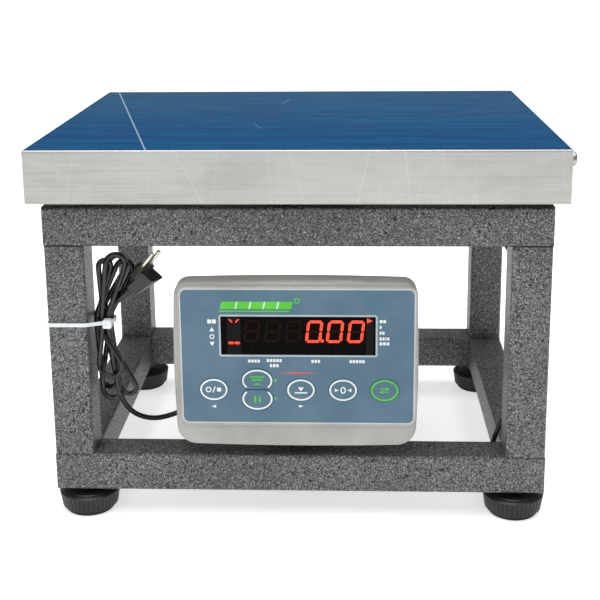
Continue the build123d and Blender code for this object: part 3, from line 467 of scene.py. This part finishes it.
def arc_points(centre, half_w, half_h, start=0, end=360, steps=48):
    """Points along an ellipse, angles in degrees from +X towards +Z; the end is left out of a full turn."""
    count = steps if end - start == 360 else steps + 1
    places = []
    for i in range(count):
        angle = math.radians(start + (end - start) * i / steps)
        places.append((centre[0] + half_w * math.cos(angle), centre[1] + half_h * math.sin(angle)))
    return places


def triangle(x, z, half_w, half_h):
    """Triangle pointing towards +X, or towards -X when half_w is negative."""
    return [(x - half_w, z + half_h), (x - half_w, z - half_h), (x + half_w, z)]


def rounded_box(x0, x1, z0, z1, radius, steps=6):
    places = []
    corners = ((x1, z1, -1, -1, 0), (x0, z1, 1, -1, 90), (x0, z0, 1, 1, 180), (x1, z0, -1, 1, 270))
    for x, z, dx, dz, turn in corners:
        for i in range(steps + 1):
            angle = math.radians(turn + 90 * i / steps)
            across, up = dx + math.cos(angle), dz + math.sin(angle)
            places.append((x + radius * across, z + radius * up))
    return places


# ---------- mains lead ----------
LEAD_D = 5.2 * MM
LEAD_TAIL = [
    (-86, -124, 98),
    (-92, -124, 98),
    (-110, -125.5, 93.5),
    (-128, -131.5, 86),
    (-147, -141, 84.5),
    (-163, -150.5, 92.5),
    (-173, -157.5, 106),
    (-177, -162, 122),
    (-178.5, -165, 140),
    (-181, -168, 160),
    (-185, -170, 180),
]
WAIST = (-188, -170)
WAIST_RING = 6.8
WAIST_TOP, WAIST_BOTTOM = 206, 195
# far point of each fold, radius of its bend, its sideways sense, and the slots of the strands it joins
FOLDS = [
    ((-182.8, -175, 261.5), 5.6, 1, None, 5),
    ((-178.8, -180, 145.5), 11.8, -1, 5, 6),
    ((-170.5, -176, 267.5), 9.4, 1, 6, 7),
    ((-183, -171, 119.5), 8.5, -1, 7, 4),
    ((-163, -166, 258), 8.0, 1, 4, 0),
    ((-165, -167, 122.5), 8.6, 1, 0, 3),
    ((-171, -161, 262), 8.4, -1, 3, 2),
    ((-187, -162, 128), 7.6, -1, 2, 1),
]
LEAD_END = [(-183, -168, 211), (-176, -169.5, 216.5), (-171.6, -170, 221.1), (-167, -170, 227)]


def waist_point(slot, z):
    """Where a strand passes the tie: the middle, or one of eight places round it."""
    if slot is None:
        return Vector((*WAIST, z))
    angle = math.radians(45 * slot)
    return Vector((WAIST[0] + WAIST_RING * math.cos(angle), WAIST[1] + WAIST_RING * math.sin(angle), z))


def fold_points(tip, radius, sense, first, last):
    """A strand out from the tie, round a bend and back to the tie."""
    tip = Vector(tip)
    base = WAIST_TOP if tip.z > WAIST_TOP else WAIST_BOTTOM
    start, end = waist_point(first, base), waist_point(last, base)
    along = (tip - (start + end) / 2).normalized()
    centre = tip - along * radius
    side = Vector((sense, 0, 0))
    side = (side - along * side.dot(along)).normalized()
    depth = along.cross(side)
    bend = []
    for step in range(7):
        angle = math.radians(-108 + 36 * step)
        lift = (step - 3) * 0.9
        bend.append(centre + (along * math.cos(angle) + side * math.sin(angle)) * radius + depth * lift)
    out = [start.lerp(bend[0], share) for share in (0.0, 0.3, 0.65)]
    back = [bend[-1].lerp(end, share) for share in (0.35, 0.7, 1.0)]
    return out + bend + back


def lead_route():
    points = [Vector(point) for point in LEAD_TAIL]
    for fold in FOLDS:
        points += fold_points(*fold)
    points.append(waist_point(FOLDS[-1][-1], WAIST_BOTTOM + 3))
    points += [Vector(point) for point in LEAD_END]
    return [point * MM for point in points]


def centreline(route):
    """Points read from the smooth curve that the route controls."""
    curve = bpy.data.curves.new("lead_route", "CURVE")
    curve.dimensions = "3D"
    curve.resolution_u = 5
    spline = curve.splines.new("NURBS")
    spline.points.add(len(route) - 1)
    for point, place in zip(spline.points, route):
        point.co = (*place, 1)
    spline.order_u = 3
    spline.use_endpoint_u = True
    holder = bpy.data.objects.new("lead_route", curve)
    mesh = bpy.data.meshes.new_from_object(holder)
    places = [vertex.co.copy() for vertex in mesh.vertices]
    bpy.data.objects.remove(holder)
    bpy.data.curves.remove(curve)
    bpy.data.meshes.remove(mesh)
    return places


def tube_mesh(places, radius, sides=14):
    """Round tube along points, without twist, closed at both ends."""
    made = bmesh.new()
    rows = []
    side = None
    for i, place in enumerate(places):
        along = (places[min(i + 1, len(places) - 1)] - places[max(i - 1, 0)]).normalized()
        if side is None:
            side = along.orthogonal().normalized()
        side = (side - along * side.dot(along)).normalized()
        other = along.cross(side)
        row = []
        for turn in range(sides):
            angle = 2 * math.pi * turn / sides
            row.append(made.verts.new(place + (side * math.cos(angle) + other * math.sin(angle)) * radius))
        rows.append(row)
    for now, then in zip(rows, rows[1:]):
        for turn in range(sides):
            after = (turn + 1) % sides
            made.faces.new((now[turn], now[after], then[after], then[turn]))
    made.faces.new(rows[0][::-1])
    made.faces.new(rows[-1])
    return oriented(made)


def make_lead():
    places = centreline(lead_route())
    lead = new_piece("mains_cord", tube_mesh(places, LEAD_D / 2), "lead_sheath", None)
    smooth(lead, 60)
    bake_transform(lead)
    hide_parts("mains_lead", "lead_hank")


# ---------- display ----------
PRINT_T = 0.12 * MM
DIGIT_W, DIGIT_H = 12.4 * MM, 19.4 * MM
DIGIT_SLANT = 0.125
DIGIT_PITCH = 19.55 * MM
DIGIT_FIRST_X = -42.2 * MM
SEGMENT_W = 2.5 * MM
SEGMENT_GAP = 0.35 * MM
LIT_DIGITS = (3, 4, 5)
POINT_AFTER = 3


def segment_outlines():
    """The seven segments of a digit about its middle, the middle bar last."""
    half_w, half_h, half_t = DIGIT_W / 2, DIGIT_H / 2, SEGMENT_W / 2
    outlines = []
    for z in (half_h, -half_h, 0):
        a, b = -half_w + SEGMENT_GAP, half_w - SEGMENT_GAP
        cut = half_t * 0.8
        upper = [(a, z), (a + cut, z + half_t), (b - cut, z + half_t)]
        outlines.append(upper + [(b, z), (b - cut, z - half_t), (a + cut, z - half_t)])
    for x in (-half_w, half_w):
        for low, high in ((-half_h, 0), (0, half_h)):
            a, b = low + SEGMENT_GAP, high - SEGMENT_GAP
            cut = half_t * 0.8
            right_side = [(x, a), (x + half_t, a + cut), (x + half_t, b - cut)]
            outlines.append(right_side + [(x, b), (x - half_t, b - cut), (x - half_t, a + cut)])
    return outlines


def make_display():
    low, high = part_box("display_window")
    front = low.y
    middle_z = (low.z + high.z) / 2 + 4.3 * MM
    lit, unlit = bmesh.new(), bmesh.new()
    for place in range(6):
        x = DIGIT_FIRST_X + place * DIGIT_PITCH
        for index, outline in enumerate(segment_outlines()):
            shape = [(x + a + b * DIGIT_SLANT, middle_z + b) for a, b in outline]
            glows = place in LIT_DIGITS and index != 2
            add_slab(lit if glows else unlit, shape, front - PRINT_T * (0.5 if glows else 0.25), front)
    point_x = DIGIT_FIRST_X + POINT_AFTER * DIGIT_PITCH + DIGIT_W / 2 + 1.3 * MM
    point = arc_points((point_x, middle_z - DIGIT_H / 2 + 0.6 * MM), 1.5 * MM, 1.5 * MM, steps=16)
    add_slab(lit, point, front - PRINT_T / 2, front)
    column_x = low.x + 12.6 * MM
    for sense in (-1, 1):
        inner, outer = column_x + sense * 1.4 * MM, column_x + sense * 5.2 * MM
        top = high.z - 3.2 * MM
        tick = [(inner, top - 3.2 * MM), (outer - sense * 1.2 * MM, top - 1.0 * MM), (outer, top + 0.4 * MM)]
        tick += [(outer - sense * 2.2 * MM, top), (inner + sense * 0.2 * MM, top - 1.6 * MM)]
        add_slab(lit, tick, front - PRINT_T / 2, front)
        left, right = sorted((column_x + sense * 0.5 * MM, column_x + sense * 5.4 * MM))
        dash = rounded_box(left, right, low.z + 10.6 * MM, low.z + 12.8 * MM, 0.9 * MM)
        add_slab(lit, dash, front - PRINT_T / 2, front)
    arrow_x = high.x - 5.6 * MM
    arrow_z = high.z - 3.9 * MM
    arrow = triangle(arrow_x, arrow_z, 2.4 * MM, 2.3 * MM)
    add_slab(lit, arrow, front - PRINT_T / 2, front)
    for place in range(4):
        spot = (low.x + 2.3 * MM, high.z - (3.4 + 7.8 * place) * MM)
        add_slab(unlit, arc_points(spot, 0.8 * MM, 0.8 * MM, steps=10), front - PRINT_T / 4, front)
    for place in (0, 1, 3, 4):
        spot = (DIGIT_FIRST_X + place * DIGIT_PITCH, low.z + 6 * MM)
        add_slab(unlit, arc_points(spot, 1.1 * MM, 1.1 * MM, steps=10), front - PRINT_T / 4, front)
    new_piece("lit_segments", oriented(lit), "lit_segment", "indicator")
    new_piece("unlit_segments", oriented(unlit), "unlit_segment", "indicator")


# ---------- printed panel ----------
def make_panel_print():
    panel_low, panel_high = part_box("front_overlay")
    pane_low, pane_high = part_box("display_window")
    y = panel_low.y
    front = y - PRINT_T / 2
    border = bmesh.new()
    half = 0.9 * MM
    left, right = pane_low.x - half, pane_high.x + half
    outline = rounded_box(left, right, pane_low.z - half, pane_high.z + half, 1.6 * MM)
    add_stroke(border, outline, 2 * half, front, y, closed=True)
    new_piece("window_border", oriented(border), "grey_print", "indicator")
    rim = bmesh.new()
    inset = 0.7 * MM
    left, right = panel_low.x + inset, panel_high.x - inset
    outline = rounded_box(left, right, panel_low.z + inset, panel_high.z - inset, 6.3 * MM, 10)
    add_stroke(rim, outline, 2 * inset, front, y, closed=True)
    new_piece("panel_rim", oriented(rim), "pale_print", "indicator")


class Print:
    """Thin printed shapes on a front face, drawn in millimetres of X and Z."""

    def __init__(self, back):
        self.made = bmesh.new()
        self.back = back
        self.front = back - PRINT_T / 2

    def shape(self, points, overprint=False):
        """One filled outline; an overprint lies on top of the first layer."""
        outline = [(x * MM, z * MM) for x, z in points]
        if overprint:
            add_slab(self.made, outline, self.front - PRINT_T / 4, self.front)
        else:
            add_slab(self.made, outline, self.front, self.back)

    def box(self, x0, x1, z0, z1, radius):
        self.shape(rounded_box(x0, x1, z0, z1, radius, 2))

    def bar(self, x, z, half_w, half_h, radius=0.5):
        self.box(x - half_w, x + half_w, z - half_h, z + half_h, radius)

    def line(self, points, width, closed=True):
        outline = [(x * MM, z * MM) for x, z in points]
        add_stroke(self.made, outline, width * MM, self.front, self.back, closed=closed)

    def ring(self, x, z, half_w, half_h, width, steps=20):
        self.line(arc_points((x, z), half_w, half_h, steps=steps), width)

    def blocks(self, x, z, widths):
        """Row of small blocks that stands for a label, from its left end."""
        for width in widths:
            self.box(x, x + width, z - BLOCK_HALF_H, z + BLOCK_HALF_H, 0.35)
            x += width + BLOCK_GAP

    def piece(self, name, finish, body):
        new_piece(name, oriented(self.made), finish, body)


def slanted(x0, x1, z0, z1, lean=0.25):
    """Upright box leaning to the right by a share of its height."""
    lift = (z1 - z0) * lean
    return [(x0, z0), (x1, z0), (x1 + lift, z1), (x0 + lift, z1)]


def plus_sign(x, z, arm=1.7, half=0.55):
    corners = [(half, arm), (half, half), (arm, half), (arm, -half), (half, -half), (half, -arm)]
    corners += [(-a, -b) for a, b in corners]
    return [(x + a, z + b) for a, b in corners]


# labels, in millimetres: blocks stand for the letters of a word
BLOCK_W = 2.3
BLOCK_HALF_H = 1.5
BLOCK_GAP = 0.7
STATUS_X = -80
STATUS_SQUARES_Z, STATUS_UP_Z, STATUS_RING_Z, STATUS_DOWN_Z = 208, 200.3, 193, 185.8
UNITS_X = 77.7
# height of each unit's label, and the widths of its blocks
UNITS = (
    (208.5, (2.6, 2.6)),
    (202.9, (1.9,)),
    (197.2, (1.9, 2)),
    (191.4, (2, 2, 1, 2)),
    (186.6, (2.6, 2.6, 2.6)),
)
# middle and height of each label under the window, and its number of blocks
CAPTIONS = ((-40.7, 168.8, 4), (-21.5, 169.4, 5), (-21.5, 164.3, 3), (17.7, 168.8, 3), (56.7, 168.8, 5))
STRIPE_X0, STRIPE_X1 = -72, -5
STRIPE_Z0, STRIPE_Z1 = 220.5, 227.5
STRIPE_CUTS = (-58, -45, -32, -19)


def status_marks(marks):
    """Two squares, an up arrow, a ring and a down arrow, left of the window."""
    x = STATUS_X
    for shift in (-2.2, 2.2):
        marks.bar(x + shift, STATUS_SQUARES_Z, 1.9, 2, 0.6)
    for z, sense in ((STATUS_UP_Z, 1), (STATUS_DOWN_Z, -1)):
        marks.shape([(x + 2.4, z - 2 * sense), (x, z + 2.2 * sense), (x - 2.4, z - 2 * sense)])
    marks.ring(x, STATUS_RING_Z, 1.9, 1.9, 0.9)


def make_marks():
    """Generic marks round the window and over the keys, in place of words and names."""
    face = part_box("front_overlay")[0].y
    white, green, red = Print(face), Print(face), Print(face)
    status_marks(white)
    for z, widths in UNITS:
        white.blocks(UNITS_X, z, widths)
    for x, z, count in CAPTIONS:
        start = x - (count * BLOCK_W + (count - 1) * BLOCK_GAP) / 2
        white.blocks(start, z, [BLOCK_W] * count)
    green.shape(slanted(STRIPE_X0, STRIPE_X1, STRIPE_Z0, STRIPE_Z1))
    green.shape(slanted(STRIPE_X0 - 0.5, STRIPE_X1 - 2, STRIPE_Z0 - 2.9, STRIPE_Z0 - 1.7))
    for x in STRIPE_CUTS:
        white.shape(slanted(x, x + 1.2, STRIPE_Z0, STRIPE_Z1), overprint=True)
    green.ring(0.5, 228.5, 2.2, 2.2, 1.1)
    green.shape(plus_sign(-20.7, 149.3))
    green.bar(-20.7, 131, 1.5, 0.5, 0.4)
    red.shape([(-17.5, 157), (0, 156.1), (20.2, 157), (0, 157.9)])
    white.shape(triangle(-80, 122.7, -2.2, 1.5)[::-1])
    white.shape(triangle(3.7, 123.5, 2.2, 1.5))
    white.piece("white_marks", "white_print", "indicator")
    green.piece("green_marks", "green_print", "indicator")
    red.piece("red_mark", "red_print", "indicator")


# per key, in millimetres: the ring's middle and half sizes, its first and last angle, and its finish
RING_W = 1.6
KEY_RINGS = {
    "gross_net_key": (-79.5, 140, 12.3, 9.9, 0, 360, "white_print"),
    "print_key": (-38, 149.2, 13.6, 10.2, -42, 222, "white_print"),
    "hold_key": (-38, 130.8, 13.6, 10.2, 138, 402, "white_print"),
    "tare_key": (3.5, 140, 12.3, 9.9, 0, 360, "white_print"),
    "zero_key": (43.5, 140, 12.3, 9.9, 0, 360, "white_print"),
    "unit_key": (82.8, 140, 12.3, 9.9, 0, 360, "green_print"),
}


def ring_or_square(marks, x, z):
    marks.ring(x - 5, z, 2.3, 2.3, 1.1)
    marks.shape(slanted(x - 1.4, x - 0.2, z - 3, z + 3, 0.35))
    marks.box(x + 3, x + 7, z - 2, z + 2, 0.4)


def printed_lines(marks, x, z):
    for lift, half_w in ((3.6, 7), (0.6, 5.5), (-3.6, 3)):
        marks.bar(x, z + lift, half_w, 0.7)


def pause(marks, x, z):
    for shift in (-2.2, 2.2):
        marks.bar(x + shift, z - 0.5, 0.9, 3.1)


def arrow_onto_line(marks, x, z):
    marks.box(x - 6, x + 6, z - 3.4, z - 2.1, 0.4)
    marks.shape([(x - 2.8, z + 2.8), (x, z - 1.2), (x + 2.8, z + 2.8)])


def ring_between_arrows(marks, x, z):
    marks.ring(x, z, 2.0, 2.9, 1.2, 24)
    for sense in (-1, 1):
        marks.shape(triangle(x + sense * 6.0, z, -sense * 1.9, 1.9)[::-sense])


def exchange(marks, x, z):
    """One arrow to the right over one to the left."""
    for sense in (-1, 1):
        marks.shape(triangle(x + sense * 3.4, z + sense * 1.6, sense * 2.2, 1.7))
        marks.bar(x - sense * 1.6, z + sense * 1.6, 2.8, 0.5, 0.3)


SYMBOLS = {
    "gross_net_key": ring_or_square,
    "print_key": printed_lines,
    "hold_key": pause,
    "tare_key": arrow_onto_line,
    "zero_key": ring_between_arrows,
    "unit_key": exchange,
}
PAIRED_KEYS = ("print_key", "hold_key")


def make_key_prints():
    """Ring and symbol on each key; the paired keys have green symbols in white rings."""
    for name, (x, z, half_w, half_h, start, end, finish) in KEY_RINGS.items():
        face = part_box(name)[0].y
        ring = Print(face)
        ring.line(arc_points((x, z), half_w, half_h, start, end), RING_W, closed=end - start == 360)
        if name in PAIRED_KEYS:
            ring.piece(name + "_print", finish, name)
            symbol = Print(face)
            SYMBOLS[name](symbol, x, z)
            symbol.piece(name + "_symbol", "green_print", name)
        else:
            SYMBOLS[name](ring, x, z)
            ring.piece(name + "_print", finish, name)


make_camera()
make_world()
dress_cad_nodes()
make_lead()
make_display()
make_panel_print()
make_marks()
make_key_prints()

FLOOR_SIZE = 12
FLOOR_GLOW = 0.68


def make_floor():
    made = bmesh.new()
    corners = ((-1, -1), (1, -1), (1, 1), (-1, 1))
    made.faces.new([made.verts.new((a * FLOOR_SIZE, b * FLOOR_SIZE, 0)) for a, b in corners])
    paint = Paint("floor", (0.86, 0.87, 0.87), Roughness=0.6)
    pale = paint.mix(paint.noise(3, 2.0), (0.85, 0.865, 0.86), (0.88, 0.89, 0.885))
    paint.set("Base Color", pale)
    paint.set("Emission Color", pale)
    paint.set("Emission Strength", FLOOR_GLOW)
    mesh = oriented(made)
    mesh.materials.append(paint.material)
    floor = bpy.data.objects.new("floor", mesh)
    bpy.context.scene.collection.objects.link(floor)


make_floor()
area_light("key", (-0.35, -1.5, 2.3), (0, 0, 0.2), (1.6, 1.2), 22)
area_light("top", (0, 0.2, 2.4), (0, 0, 0), (2.4, 2.4), 45)

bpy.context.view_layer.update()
